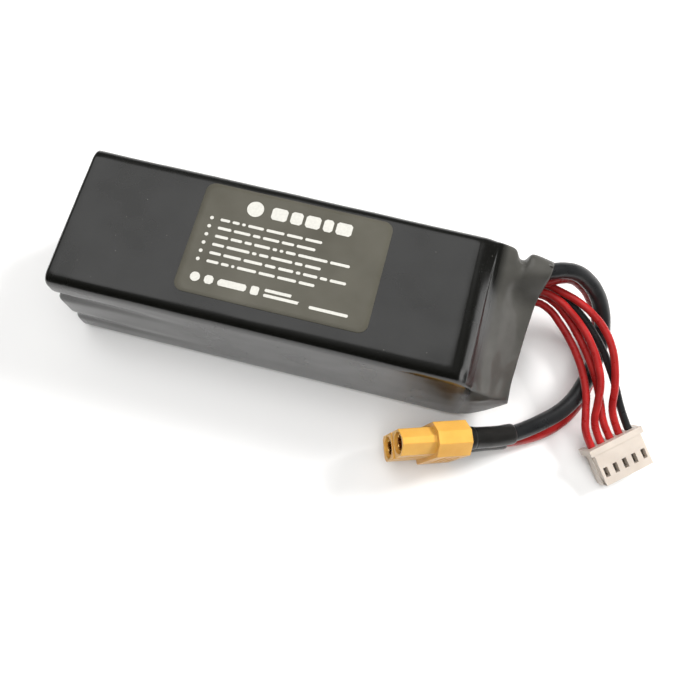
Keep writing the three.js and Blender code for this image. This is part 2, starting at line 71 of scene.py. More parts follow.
NEGATIVE_ROUTE = [
    (43.2, 11, 22.6), (46.6, 12.4, 22.8), (50, 13.8, 22.9), (53.4, 14.8, 22.8), (56.6, 16.2, 22.1),
    (59.8, 17, 20.8), (63, 16.8, 18.6), (66, 15.6, 15.9), (68.4, 13.4, 13), (70, 10.4, 10.4),
    (70.7, 6.8, 8.4), (70.5, 2.9, 7.1), (69.7, -1.1, 6.5), (68.4, -5.1, 6.4), (66.6, -8.9, 6.5),
    (64, -12.3, 6.7), (60.9, -15.2, 7.1), (57.6, -17.9, 7.7), (54.3, -20.2, 8.6), (50.7, -22, 9.6),
    (47, -23.5, 10.7),
]
POSITIVE_ROUTE = [
    (43.2, 11, 18.3), (46.6, 12.4, 18.5), (50, 13.8, 18.5), (53.4, 15, 18.3), (56.6, 16.9, 17.5),
    (59.8, 18.3, 16.1), (63, 18.5, 13.7), (66.2, 17.4, 10.9), (68.8, 15, 8.2), (70.7, 11.6, 5.8),
    (71.6, 7.6, 4), (71.4, 3.3, 2.9), (70.6, -1.1, 2.3), (69.4, -5.4, 2.2), (67.6, -9.5, 2.2),
    (65, -13.2, 2.2), (61.8, -16.2, 2.4), (58, -18.6, 2.7), (53.6, -20.5, 3), (49, -22.1, 3.3),
    (45.1, -23.6, 3.7),
]
BALANCE_ROUTES = [
    [
        (43.2, 6, 10.2), (46.8, 8.5, 10.5), (50.2, 10.7, 10.7), (53.4, 12.1, 10.8), (56.8, 11.1, 10.9),
        (60, 8.1, 11), (62.9, 4.6, 11), (65.4, 0.9, 10.8), (67.5, -3, 10.2), (69.1, -7, 9.2),
        (70, -11, 8), (70.9, -14.8, 6.9), (72.9, -17.8, 5.7),
    ],
    [
        (43.2, 7.2, 14.8), (46.8, 9.8, 14.9), (50.4, 12.1, 14.9), (54, 13.2, 14.9), (57.7, 12.2, 15),
        (61.2, 9.8, 14.9), (64.5, 6.9, 14.5), (67.3, 3.5, 14), (69.7, -0.4, 13), (71.4, -4.5, 11.5),
        (71.9, -8.6, 9.7), (72.6, -12.6, 7.2), (74.8, -16.2, 5.7),
    ],
    [
        (43.2, 7.6, 12.3), (46.8, 10.1, 12.6), (50.4, 12.3, 12.7), (54, 13.4, 12.7), (57.6, 12.3, 12.6),
        (61, 9.6, 12.4), (64, 6.3, 12), (66.7, 2.8, 11.5), (69.1, -0.8, 10.7), (71.3, -4.3, 9.2),
        (73, -8, 8), (74.4, -11.4, 6.9), (76.7, -14.6, 5.7),
    ],
    [
        (43.2, 9.9, 15.2), (46.8, 12.4, 15), (50.4, 14.5, 14.8), (54.2, 15.3, 14.8), (58.2, 14.2, 15.2),
        (62.3, 12.4, 15.9), (66.2, 10, 15.9), (69.4, 7.2, 15.4), (71.9, 3.6, 14.6), (73.7, -0.5, 13),
        (74.9, -4.6, 10.9), (75.9, -8.8, 8), (78.6, -13, 5.7),
    ],
    [
        (43.2, 10.4, 12.4), (46.8, 12.6, 12.5), (50.4, 14.7, 12.5), (54, 15.6, 12.6), (57.5, 14.9, 12.8),
        (60.8, 13, 13.1), (63.9, 10.5, 13.3), (66.9, 7.6, 13.1), (69.8, 4.3, 12.5), (72.8, 0.5, 11),
        (75.5, -3.4, 9.1), (77.8, -7.4, 7.4), (80.6, -11.4, 5.7),
    ],
]
MAIN_LEAD_DIAMETER = 3.8
BALANCE_WIRE_DIAMETER = 1.8
NEGATIVE_LENGTH = 81.0
POSITIVE_LENGTH = 86.0
BALANCE_LENGTHS = [51.0, 54.0, 51.5, 56.0, 53.5]

# ---- places of the plugs, as in the CAD source, in millimetres and degrees ----

POWER_PLUG = {"position": (28.3, -30.3, 12.1), "heading": 200.9, "pitch": -14.5, "lean": -4.1}
BALANCE_PLUG = {"position": (82.4, -21.4, 2.8), "heading": -50.1, "pitch": 18.0, "lean": 0.0}
CONTACT_OFFSET = 3.6
BALANCE_PITCH = 2.5
BALANCE_COUNT = 5
POWER_REAR_X = -16.0
BALANCE_REAR_X = -9.0


def plug_matrix(plug):
    """The move from a plug's own frame, in millimetres, to the object's, in metres."""
    angles = [math.radians(plug[key]) for key in ("lean", "pitch", "heading")]
    turn = Euler(angles, "XYZ").to_matrix().to_4x4()
    return Matrix.Translation(Vector(plug["position"]) * MM) @ turn @ Matrix.Scale(MM, 4)


# ---- mesh helpers ----

AXIS_RADIUS = 1e-4  # stands in for zero where a turned profile meets its axis


def link(obj):
    bpy.context.scene.collection.objects.link(obj)
    return obj


def shade_smooth(mesh):
    mesh.polygons.foreach_set("use_smooth", [True] * len(mesh.polygons))


def object_from(name, vertices, faces):
    """A smooth-shaded object."""
    mesh = bpy.data.meshes.new(name)
    mesh.from_pydata([tuple(v) for v in vertices], [], faces)
    mesh.validate()
    shade_smooth(mesh)
    mesh.update()
    return link(bpy.data.objects.new(name, mesh))


def store_outward(bm, mesh):
    """Turns the faces outward, stores them in the mesh and frees the bmesh."""
    bmesh.ops.recalc_face_normals(bm, faces=bm.faces)
    bm.to_mesh(mesh)
    bm.free()


def object_from_bmesh(name, bm):
    """A flat-shaded object."""
    mesh = bpy.data.meshes.new(name)
    store_outward(bm, mesh)
    return link(bpy.data.objects.new(name, mesh))


def face_outward(obj):
    bm = bmesh.new()
    bm.from_mesh(obj.data)
    store_outward(bm, obj.data)


def join_rings(name, rings, ring_loop=False, caps=False):
    """A surface through rings of equal point counts."""
    count = len(rings[0])
    vertices = [point for ring in rings for point in ring]
    faces = []
    spans = len(rings) if ring_loop else len(rings) - 1
    for r in range(spans):
        here = r * count
        after = ((r + 1) % len(rings)) * count
        for i in range(count):
            j = (i + 1) % count
            faces.append((here + i, here + j, after + j, after + i))
    if caps:
        faces.append(tuple(reversed(range(count))))
        faces.append(tuple(range(len(vertices) - count, len(vertices))))
    return object_from(name, vertices, faces)


def apply_modifiers(obj):
    """Replaces the object's mesh by its evaluated one."""
    depsgraph = bpy.context.evaluated_depsgraph_get()
    evaluated = obj.evaluated_get(depsgraph)
    mesh = bpy.data.meshes.new_from_object(evaluated)
    obj.modifiers.clear()
    old = obj.data
    obj.data = mesh
    bpy.data.meshes.remove(old)


def combine(target, other, operation):
    """Joins another object to the target, or cuts it away, and removes it."""
    modifier = target.modifiers.new("combine", "BOOLEAN")
    modifier.operation = operation
    modifier.object = other
    modifier.solver = "EXACT"
    apply_modifiers(target)
    bpy.data.objects.remove(other, do_unlink=True)


def soften_edges(obj, width, segments, angle):
    """Rounds the edges that turn by more than an angle in degrees, by a width in the mesh's own units."""
    modifier = obj.modifiers.new("soften", "BEVEL")
    modifier.width = width
    modifier.segments = segments
    modifier.limit_method = "ANGLE"
    modifier.angle_limit = math.radians(angle)
    apply_modifiers(obj)
    shade_smooth(obj.data)
    weighted = obj.modifiers.new("weighted", "WEIGHTED_NORMAL")
    weighted.keep_sharp = True


def prism_along_x(name, outline, x0, x1):
    """A straight body from an outline of (y, z) points."""
    rings = [[(x, y, z) for y, z in outline] for x in (x0, x1)]
    return join_rings(name, rings, caps=True)


def box(name, low, high):
    """A block between two opposite corners."""
    outline = [(low[1], low[2]), (high[1], low[2]), (high[1], high[2]), (low[1], high[2])]
    return prism_along_x(name, outline, low[0], high[0])


def circle(radius, sides, centre):
    points = []
    for i in range(sides):
        angle = 2 * math.pi * i / sides
        points.append((centre[0] + radius * math.cos(angle), centre[1] + radius * math.sin(angle)))
    return points


def turn_along_x(name, profile, sides, centre=(0, 0)):
    """A turned body through (x, radius) points, closed by a flat face at both ends."""
    rings = []
    for x, radius in profile:
        rings.append([(x, y, z) for y, z in circle(max(radius, AXIS_RADIUS), sides, centre)])
    return join_rings(name, rings, caps=True)


def place(obj, matrix):
    obj.data.transform(matrix)
    obj.data.update()


def path_frames(points):
    """Positions with side and up directions that turn as little as possible along a path."""
    frames = []
    side = None
    for i, point in enumerate(points):
        ahead = points[min(i + 1, len(points) - 1)] - points[max(i - 1, 0)]
        ahead.normalize()
        if side is None:
            side = ahead.orthogonal().normalized()
        side = (side - ahead * side.dot(ahead)).normalized()
        frames.append((point, side, ahead.cross(side)))
    return frames


def catmull_rom(points, steps):
    """Points on a smooth curve through the given ones."""
    padded = [points[0] * 2 - points[1], *points, points[-1] * 2 - points[-2]]
    curve = []
    for i in range(1, len(padded) - 2):
        before, start, end, after = padded[i - 1 : i + 3]
        for k in range(steps):
            t = k / steps
            curve.append(
                0.5
                * (
                    2 * start
                    + (end - before) * t
                    + (2 * before - 5 * start + 4 * end - after) * t * t
                    + (3 * start - before - 3 * end + after) * t**3
                )
            )
    curve.append(points[-1].copy())
    return curve


# ---- material helpers ----

NOISE_LOW = 0.3  # nearly all of a noise's values lie between these two
NOISE_HIGH = 0.7


class Surface:
    """A Principled material with a few ways to add procedural detail, in the object's own coordinates."""

    def __init__(self, name, color, roughness, metallic=0.0, **sockets):
        self.material = bpy.data.materials.new(name)
        self.material.use_nodes = True
        self.tree = self.material.node_tree
        self.shader = self.tree.nodes["Principled BSDF"]
        self.shader.inputs["Base Color"].default_value = (*color, 1)
        self.shader.inputs["Roughness"].default_value = roughness
        self.shader.inputs["Metallic"].default_value = metallic
        for key, value in sockets.items():
            self.shader.inputs[key.replace("_", " ")].default_value = value
        self.coordinates = self.node("ShaderNodeTexCoord").outputs["Object"]
        self.last_normal = None

    def node(self, kind, **values):
        made = self.tree.nodes.new(kind)
        for key, value in values.items():
            setattr(made, key, value)
        return made

    def join(self, start, end):
        self.tree.links.new(start, end)

    def noise(self, size, detail=4.0, roughness=0.5, stretch=(1, 1, 1)):
        """Smooth noise whose features are about this many millimetres wide."""
        mapping = self.node("ShaderNodeMapping")
        mapping.inputs["Scale"].default_value = [1 / (size * MM * s) for s in stretch]
        self.join(self.coordinates, mapping.inputs["Vector"])
        texture = self.node("ShaderNodeTexNoise")
        texture.inputs["Scale"].default_value = 1.0
        texture.inputs["Detail"].default_value = detail
        texture.inputs["Roughness"].default_value = roughness
        self.join(mapping.outputs["Vector"], texture.inputs["Vector"])
        return texture.outputs["Fac"]

    def specks(self, size, radius):
        """Small round spots, 1 inside a spot, about this many millimetres apart."""
        mapping = self.node("ShaderNodeMapping")
        mapping.inputs["Scale"].default_value = [1 / (size * MM)] * 3
        self.join(self.coordinates, mapping.inputs["Vector"])
        cells = self.node("ShaderNodeTexVoronoi")
        cells.inputs["Scale"].default_value = 1.0
        self.join(mapping.outputs["Vector"], cells.inputs["Vector"])
        return self.remap(cells.outputs["Distance"], radius, radius * 0.5, 0.0, 1.0)

    def along_x(self, start, end):
        """0 before one place along the pack and 1 after another, both in millimetres."""
        split = self.node("ShaderNodeSeparateXYZ")
        self.join(self.coordinates, split.inputs["Vector"])
        return self.remap(split.outputs["X"], start * MM, end * MM, 0.0, 1.0)

    def remap(self, value, low, high, out_low, out_high):
        ranger = self.node("ShaderNodeMapRange")
        limits = {"From Min": low, "From Max": high, "To Min": out_low, "To Max": out_high}
        for key, number in limits.items():
            ranger.inputs[key].default_value = number
        self.join(value, ranger.inputs["Value"])
        return ranger.outputs["Result"]

    def math(self, operation, first, second):
        calculation = self.node("ShaderNodeMath", operation=operation)
        for index, operand in enumerate((first, second)):
            if isinstance(operand, (int, float)):
                calculation.inputs[index].default_value = operand
            else:
                self.join(operand, calculation.inputs[index])
        return calculation.outputs[0]

    def color_by(self, factor, low_color, high_color, low=0.35, high=0.65):
        ramp = self.node("ShaderNodeValToRGB")
        ramp.color_ramp.elements[0].position = low
        ramp.color_ramp.elements[0].color = (*low_color, 1)
        ramp.color_ramp.elements[1].position = high
        ramp.color_ramp.elements[1].color = (*high_color, 1)
        self.join(factor, ramp.inputs["Fac"])
        self.join(ramp.outputs["Color"], self.shader.inputs["Base Color"])

    def roughness_by(self, factor, low, high):
        roughness = self.remap(factor, NOISE_LOW, NOISE_HIGH, low, high)
        self.join(roughness, self.shader.inputs["Roughness"])

    def bump(self, height, depth):
        """Relief of this many millimetres."""
        bump = self.node("ShaderNodeBump")
        bump.inputs["Distance"].default_value = depth * MM
        self.join(height, bump.inputs["Height"])
        if self.last_normal is not None:
            self.join(self.last_normal, bump.inputs["Normal"])
        self.last_normal = bump.outputs["Normal"]
        self.join(self.last_normal, self.shader.inputs["Normal"])


def wear(obj, surface):
    obj.data.materials.clear()
    obj.data.materials.append(surface.material)


# ---- materials ----

FILM_BLACK = (0.004, 0.004, 0.0033)
# The pale film colour serves the dust specks and the stretched front. On the front it is partly real
# stretched film and partly painted reflection of the light on the front slope.
FILM_STRETCH_DUST_AND_SHEEN = (0.08, 0.077, 0.068)
STRETCH_START = 41.5
STRETCH_END = 43.5


def film_surface():
    """Glossy black film that is duller where it is stretched, from the front edge to the mouth, and paler
    there, partly from the stretching and partly as painted reflection of the light on the front slope.
    """
    surface = Surface("shrink_film", FILM_BLACK, 0.22, IOR=1.55)
    surface.shader.inputs["Coat Weight"].default_value = 0.3
    surface.shader.inputs["Coat Roughness"].default_value = 0.12
    stretched = surface.along_x(STRETCH_START, STRETCH_END)
    patches = surface.remap(surface.noise(6, detail=3), NOISE_LOW, NOISE_HIGH, 0.5, 0.75)
    # Painted reflection: the stretched front is lightened partly as stretched film and partly to stand in
    # for the light reflected on the front slope.
    stretch_and_sheen = surface.math("MULTIPLY", stretched, patches)
    tone = surface.math("MAXIMUM", surface.specks(2.6, 0.05), stretch_and_sheen)
    surface.color_by(tone, FILM_BLACK, FILM_STRETCH_DUST_AND_SHEEN, 0.0, 1.0)
    gloss = surface.remap(surface.noise(11, detail=4), NOISE_LOW, NOISE_HIGH, 0.18, 0.3)
    roughness = surface.math("ADD", gloss, surface.math("MULTIPLY", stretched, 0.3))
    surface.join(roughness, surface.shader.inputs["Roughness"])
    surface.bump(surface.noise(8, detail=2), 0.03)
    surface.bump(surface.noise(2.6, detail=2), 0.006)
    surface.bump(surface.noise(0.9, detail=3, roughness=0.6), 0.0015)
    return surface


def label_surface():
    """Olive-grey plastic film with a satin finish."""
    surface = Surface("label_film", (0.07, 0.066, 0.05), 0.42, IOR=1.45)
    tone = surface.noise(16, detail=3)
    surface.color_by(tone, (0.06, 0.056, 0.042), (0.088, 0.083, 0.065), NOISE_LOW, NOISE_HIGH)
    surface.roughness_by(surface.noise(2.4, detail=3), 0.38, 0.5)
    surface.bump(surface.noise(9, detail=2), 0.04)
    surface.bump(surface.noise(0.35, detail=2), 0.004)
    return surface


def print_surface():
    """Pale ink."""
    surface = Surface("label_print", (0.78, 0.77, 0.7), 0.5)
    tone = surface.noise(0.5, detail=3)
    surface.color_by(tone, (0.5, 0.49, 0.45), (0.57, 0.56, 0.51), NOISE_LOW, NOISE_HIGH)
    surface.bump(surface.noise(0.3, detail=2), 0.004)
    return surface


def silicone_surface(name, dark, light, roughness):
    """Soft insulation or shrink tubing."""
    surface = Surface(name, light, roughness, IOR=1.45)
    surface.color_by(surface.noise(5, detail=3), dark, light, NOISE_LOW, NOISE_HIGH)
    surface.roughness_by(surface.noise(1.6, detail=3), roughness * 0.85, roughness * 1.2)
    surface.bump(surface.noise(2.8, detail=2), 0.003)
    surface.bump(surface.noise(0.25, detail=2), 0.001)
    return surface


def nylon_surface(name, dark, light, roughness, scatter, scatter_color):
    """Moulded plastic that lets a little light in."""
    surface = Surface(name, light, roughness, IOR=1.5, Subsurface_Weight=scatter, Subsurface_Scale=0.0015)
    surface.shader.inputs["Subsurface Radius"].default_value = scatter_color
    surface.color_by(surface.noise(6, detail=3), dark, light, NOISE_LOW, NOISE_HIGH)
    surface.roughness_by(surface.noise(1.2, detail=3), roughness * 0.8, roughness * 1.2)
    surface.bump(surface.noise(0.22, detail=3, roughness=0.7), 0.01)
    surface.bump(surface.noise(3.0, detail=2), 0.03)
    return surface


def metal_surface(name, color, roughness, stretch=(1, 1, 1)):
    """Metal with dull patches, brushed along X where the noise is stretched."""
    surface = Surface(name, color, roughness, metallic=1.0)
    dull = tuple(channel * 0.78 for channel in color)
    surface.color_by(surface.noise(1.4, detail=4), dull, color, 0.3, 0.6)
    surface.roughness_by(surface.noise(0.6, detail=3, stretch=stretch), roughness * 0.7, roughness * 1.4)
    surface.bump(surface.noise(0.3, detail=3, stretch=stretch), 0.01)
    return surface


def sheet_surface(name, dark, light, roughness, grain=0.5, depth=0.02):
    """Paper, foam or board with a grain and a relief in millimetres."""
    surface = Surface(name, light, roughness)
    surface.color_by(surface.noise(grain * 4, detail=4), dark, light, NOISE_LOW, NOISE_HIGH)
    surface.roughness_by(surface.noise(grain * 2, detail=3), roughness * 0.8, roughness * 1.15)
    surface.bump(surface.noise(grain, detail=4, roughness=0.7), depth)
    return surface


def make_surfaces():
    """Every material of the pack, by the name its pieces use."""
    silicone, nylon, metal, sheet = silicone_surface, nylon_surface, metal_surface, sheet_surface
    amber_in = (1, 0.5, 0.15)
    ivory_in = (1, 0.8, 0.6)
    brushed = (4, 1, 1)
    return {
        "wrap_film": film_surface(),
        "label": label_surface(),
        "print": print_surface(),
        "red_silicone": silicone("red_silicone", (0.25, 0.01, 0.01), (0.4, 0.02, 0.019), 0.3),
        "black_silicone": silicone("black_silicone", (0.01, 0.0105, 0.011), (0.018, 0.0185, 0.019), 0.3),
        "black_sleeve": silicone("black_sleeve", (0.008, 0.008, 0.0075), (0.015, 0.014, 0.013), 0.36),
        "amber_nylon": nylon("amber_nylon", (0.6, 0.31, 0.055), (0.7, 0.39, 0.085), 0.36, 0.2, amber_in),
        "ivory_nylon": nylon("ivory_nylon", (0.48, 0.42, 0.365), (0.57, 0.505, 0.44), 0.42, 0.15, ivory_in),
        "gold": metal("gold_plate", (0.83, 0.56, 0.2), 0.22),
        "tinned": metal("tin_plate", (0.6, 0.59, 0.56), 0.28, brushed),
        "nickel": metal("nickel_strip", (0.6, 0.59, 0.56), 0.3, brushed),
        "solder": metal("solder", (0.62, 0.62, 0.63), 0.3),
        "pouch_foil": metal("pouch_foil", (0.62, 0.63, 0.64), 0.42),
        "foam_tape": sheet("foam_tape", (0.72, 0.72, 0.68), (0.84, 0.84, 0.8), 0.85),
        "foam_pad": sheet("foam_pad", (0.02, 0.02, 0.02), (0.05, 0.05, 0.05), 0.9, 0.4, 0.15),
        "fish_paper": sheet("fish_paper", (0.24, 0.28, 0.2), (0.33, 0.37, 0.28), 0.75),
        "polyimide": sheet("polyimide_tape", (0.36, 0.14, 0.012), (0.5, 0.22, 0.03), 0.25, 1.0, 0.01),
        "board": sheet("board_mask", (0.014, 0.1, 0.035), (0.024, 0.15, 0.055), 0.35, 0.6, 0.01),
    }


# ---- shrink film, in millimetres ----

FILM_THICKNESS = 0.25
FLOOR_GAP = 0.02
BODY_HALF = 17.5
BODY_TOP = 28.8
BODY_RADIUS = 2.9
BODY_REAR = -54.0
REAR_ROUNDING = 1.1
FRONT_START = 36.4
CORNER_POINTS = 9
SIDE_POINTS = 12

# Each section of the front goes through eight corners (x, y, z, radius): near low, far low, far high, three
# on the top from the far side to the near side, near high, and the middle of the near side.
FRONT_SECTIONS = [
    [
        (36.4, -17.5, 0, 2.9), (36.4, 17.5, 0, 2.9), (36.4, 17.5, 28.8, 2.9), (36.4, 11.4, 28.8, 2),
        (36.4, 5.2, 28.8, 2), (36.4, -6, 28.8, 3), (36.4, -17.5, 28.8, 2.9), (36.4, -17.5, 14.4, 2),
    ],
    [
        (38.4, -17.5, 0, 2.9), (38.4, 17.5, 0, 2.9), (38.2, 17.5, 28.6, 2.6), (38.2, 11.4, 28.5, 2),
        (38.3, 5.2, 28.4, 2), (38.3, -6, 28.3, 3), (38.4, -17.5, 28.2, 2.8), (38.4, -17.4, 14.4, 2),
    ],
    [
        (40.2, -17.4, 0.1, 2.8), (40.2, 17.5, 0.1, 2.8), (40.3, 17.4, 28, 2.2), (40.3, 11.4, 27.6, 2),
        (40.2, 5.2, 27, 2), (40.1, -6, 26.8, 3), (40, -17.3, 26.6, 2.4), (40.2, -17.3, 14, 2),
    ],
    [
        (40.9, -17.3, 0.2, 2.8), (40.9, 17.5, 0.3, 2.8), (41.2, 17.4, 27.7, 1.8), (41.1, 11.4, 27, 2),
        (41, 5.2, 26, 2), (40.8, -6, 25.7, 3), (40.7, -17.2, 25.4, 2), (40.9, -17.2, 13.8, 2),
    ],
    [
        (43.4, -16.8, 0.5, 2.6), (43, 17.4, 1.1, 2.6), (43, 17.4, 27.1, 1.6), (43, 11.4, 26.4, 2),
        (43.1, 5.2, 24.2, 2), (43, -6, 23.1, 3), (42.9, -16.7, 22.4, 1.6), (43.2, -16.9, 12.6, 2),
    ],
    [
        (45.4, -16.3, 1.8, 2.2), (44.9, 17.2, 2.3, 2.4), (44.8, 17.1, 26.6, 1.4), (44.8, 11.6, 26, 2),
        (45.1, 5.6, 22.8, 2), (45.1, -5.8, 20.9, 3), (45.1, -16.1, 19.6, 1.3), (45.3, -16.3, 11.6, 2),
    ],
    [
        (47.4, -15.6, 3.6, 1.8), (46.9, 17, 4, 2.6), (46.9, 16, 25.7, 2), (46.9, 11.7, 25.6, 1.8),
        (47.3, 6.2, 20.8, 2.4), (47.3, -5.4, 18.6, 3), (47.3, -15.4, 16.7, 1.2), (47.4, -15.6, 10.9, 2),
    ],
    [
        (49.6, -14.6, 5.5, 1.4), (49.2, 16.9, 6.1, 2.8), (48.9, 17.5, 25.9, 2.2), (48.9, 12.2, 26.2, 2),
        (49.4, 7.2, 19.6, 2.4), (49.5, -4.6, 16.6, 3), (49.4, -14.5, 13.9, 1), (49.6, -14.7, 10.2, 1.6),
    ],
    [
        (52.1, -13.4, 7.4, 0.9), (51.9, 16.8, 8.1, 3), (53.8, 17, 25.2, 2.4), (53.6, 12.8, 25.9, 2),
        (52.3, 8.2, 19, 2.6), (51.6, -3.6, 14.9, 3), (51.3, -13.3, 11.3, 0.9), (51.6, -13.6, 9.4, 1),
    ],
]
FRONT_STEPS = 8
BODY_STEPS = 62
REAR_FACE_STEPS = 7
REAR_ROUND_STEPS = 6
REAR_HOLE = {"half_width": 11.0, "low": 6.9, "high": 21.9, "radius": 2.2, "depth": 0.35}
GROOVE_HEIGHTS_AND_DEPTHS = ((8.4, 0.6), (20.6, 1.1))
GROOVE_RUN = 34
GROOVE_SPREAD = 1.5
GROOVE_BAND = 3.5
CREASE_START = 40.5
CREASE_RUN = 12


def rounded_ring(corners):
    """Equal numbers of points round a closed outline of (x, y, z, radius) corners."""
    points = [Vector(corner[:3]) for corner in corners]
    count = len(points)
    bends = []
    for i, corner in enumerate(points):
        radius = corners[i][3]
        before = (points[i - 1] - corner).normalized() * radius
        after = (points[(i + 1) % count] - corner).normalized() * radius
        bends.append((corner + before, corner, corner + after))
    ring = []
    for i, (enter, corner, leave) in enumerate(bends):
        for k in range(CORNER_POINTS):
            t = k / (CORNER_POINTS - 1)
            ring.append(enter * (1 - t) ** 2 + corner * (2 * t * (1 - t)) + leave * t * t)
        side_end = bends[(i + 1) % count][0]
        for k in range(1, SIDE_POINTS):
            ring.append(leave.lerp(side_end, k / SIDE_POINTS))
    return ring


def body_corners(x, inset):
    """The eight corners of a straight section, drawn in by an inset."""
    half = BODY_HALF - inset
    low = inset
    high = BODY_TOP - inset
    radius = BODY_RADIUS - 0.2 * inset
    share = half / BODY_HALF
    return [
        (x, -half, low, radius),
        (x, half, low, radius),
        (x, half, high, radius),
        (x, 11.4 * share, high, 2),
        (x, 5.2 * share, high, 2),
        (x, -6 * share, high, 3),
        (x, -half, high, radius),
        (x, -half, (low + high) / 2, 2),
    ]


def hole_corners(x):
    """The eight corners of the opening in the rear face."""
    half = REAR_HOLE["half_width"]
    low, high, radius = REAR_HOLE["low"], REAR_HOLE["high"], REAR_HOLE["radius"]
    return [
        (x, -half, low, radius),
        (x, half, low, radius),
        (x, half, high, radius),
        (x, 7.2, high, 1.2),
        (x, 3.4, high, 1.2),
        (x, -3.8, high, 1.2),
        (x, -half, high, radius),
        (x, -half, (low + high) / 2, 1.2),
    ]


def film_sag(point):
    """How far the film lies inside its outline at a point, in millimetres."""
    broad = noise.noise(Vector((point.x / 17, point.y / 9, point.z / 9 + 3)))
    small = noise.noise(Vector((point.x / 5.5 + 9, point.y / 4, point.z / 4)))
    return 0.11 + 0.1 * broad + 0.03 * small


def cell_grooves(point):
    """How far the film is drawn in between the cells on the two long sides, most of all at the rear."""
    if abs(point.y) < BODY_HALF - GROOVE_BAND:
        return 0.0
    along = max(0.0, 1 - (point.x - BODY_REAR) / GROOVE_RUN)
    depth = 0.0
    for height, amount in GROOVE_HEIGHTS_AND_DEPTHS:
        wander = height + 0.5 * noise.noise(Vector((point.x / 14, height, 0)))
        depth += amount * math.exp(-(((point.z - wander) / GROOVE_SPREAD) ** 2))
    return depth * along**1.3


def front_creases(point):
    """Fine pleats that run from the front edge of the pack to the pinched mouth."""
    along = (point.x - CREASE_START) / CREASE_RUN
    if along <= 0:
        return 0.0
    swell = min(1.0, along * 2.2)
    around = math.atan2(point.z - 14, point.y)
    pleats = noise.noise(Vector((around * 4.2, point.x / 13, 1.7)))
    ridges = 1 - abs(noise.noise(Vector((around * 7.5 + 4, point.x / 9, 5.2)))) * 2
    return swell * (0.05 * pleats - 0.015 * max(0.0, ridges) ** 3)


# Dents and swellings: centre, spread along x, y and z, and depth.
FILM_DENTS = [
    ((44.5, -14.5, 21.0), (2.0, 2.0, 2.2), 0.45),
    ((42.3, -16.2, 23.5), (1.3, 1.8, 1.6), 0.25),
    ((47.5, -13.0, 16.5), (2.0, 2.6, 2.0), 0.3),
    ((46.0, -16.4, 15.5), (2.2, 1.4, 1.4), -0.2),
    ((45.5, -9.5, 20.5), (2.4, 2.6, 2.0), -0.12),
    ((46.8, 15.5, 25.5), (1.0, 2.4, 1.8), 0.7),
    ((46.5, 8.5, 22.5), (1.6, 2.0, 2.0), 0.55),
    ((50.0, 1.5, 17.0), (2.6, 2.6, 2.0), 0.15),
    ((39.5, -15.5, 27.2), (1.4, 1.3, 1.0), 0.4),
]


def dents(point):
    """How far the listed dents lower the film at a point."""
    depth = 0.0
    for centre, spread, amount in FILM_DENTS:
        reach = sum(((point[i] - centre[i]) / spread[i]) ** 2 for i in range(3))
        if reach < 9:
            depth += amount * math.exp(-reach)
    return depth


def film_rings():
    """Rings of the film before it sags, from the rear opening over the body to the mouth."""
    rings = []
    for k in range(REAR_FACE_STEPS):
        t = k / REAR_FACE_STEPS
        hole = rounded_ring(hole_corners(BODY_REAR + REAR_HOLE["depth"]))
        edge = rounded_ring(body_corners(BODY_REAR, REAR_ROUNDING))
        rings.append([a.lerp(b, t) for a, b in zip(hole, edge)])
    for k in range(REAR_ROUND_STEPS):
        angle = math.pi / 2 * k / REAR_ROUND_STEPS
        x = BODY_REAR + REAR_ROUNDING * (1 - math.cos(angle))
        rings.append(rounded_ring(body_corners(x, REAR_ROUNDING * (1 - math.sin(angle)))))
    start = BODY_REAR + REAR_ROUNDING
    for k in range(BODY_STEPS):
        x = start + (FRONT_START - start) * k / BODY_STEPS
        rings.append(rounded_ring(body_corners(x, 0)))
    sections = [rounded_ring(corners) for corners in FRONT_SECTIONS]
    columns = [catmull_rom(list(column), FRONT_STEPS) for column in zip(*sections)]
    rings += [list(ring) for ring in zip(*columns)]
    return rings


def ring_normals(rings):
    """Outward directions of the surface through the rings."""
    count = len(rings[0])
    normals = []
    for r, ring in enumerate(rings):
        before, after = rings[max(r - 1, 0)], rings[min(r + 1, len(rings) - 1)]
        row = []
        for i in range(count):
            around = ring[(i + 1) % count] - ring[i - 1]
            along = after[i] - before[i]
            row.append(around.cross(along).normalized())
        normals.append(row)
    return normals


def make_film(surfaces):
    rings = film_rings()
    normals = ring_normals(rings)
    shaped = []
    for ring, row in zip(rings, normals):
        moved = []
        for point, normal in zip(ring, row):
            depth = film_sag(point) + cell_grooves(point) + front_creases(point) + dents(point)
            spot = point - normal * depth
            spot.z = max(spot.z, FLOOR_GAP)
            moved.append(spot * MM)
        shaped.append(moved)
    film = join_rings("film_wrap", shaped)
    shell = film.modifiers.new("thickness", "SOLIDIFY")
    shell.thickness = FILM_THICKNESS * MM
    shell.offset = -1
    apply_modifiers(film)
    shade_smooth(film.data)
    wear(film, surfaces["wrap_film"])
    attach(film, ROOT)
    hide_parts("shrink_wrap")


# ---- label, in millimetres ----

LABEL_CENTRE = Vector((-4.3, 1.3))
LABEL_SIZE = Vector((43.1, 26.9))
LABEL_CORNER = 2.2
LABEL_CORNER_STEPS = 8
LABEL_SIDE_STEPS = 10
LABEL_THICKNESS = 0.12
LABEL_EDGE_CUT = 0.05
LABEL_RINGS = 14
SUNK = -0.01  # undersides lie this little below what they rest on
PRINT_HEIGHT = 0.03
PRINT_TOP_LIMIT = 28.99


def film_top(x, y):
    """Height of the film's top face."""
    return BODY_TOP - film_sag(Vector((x, y, BODY_TOP)))


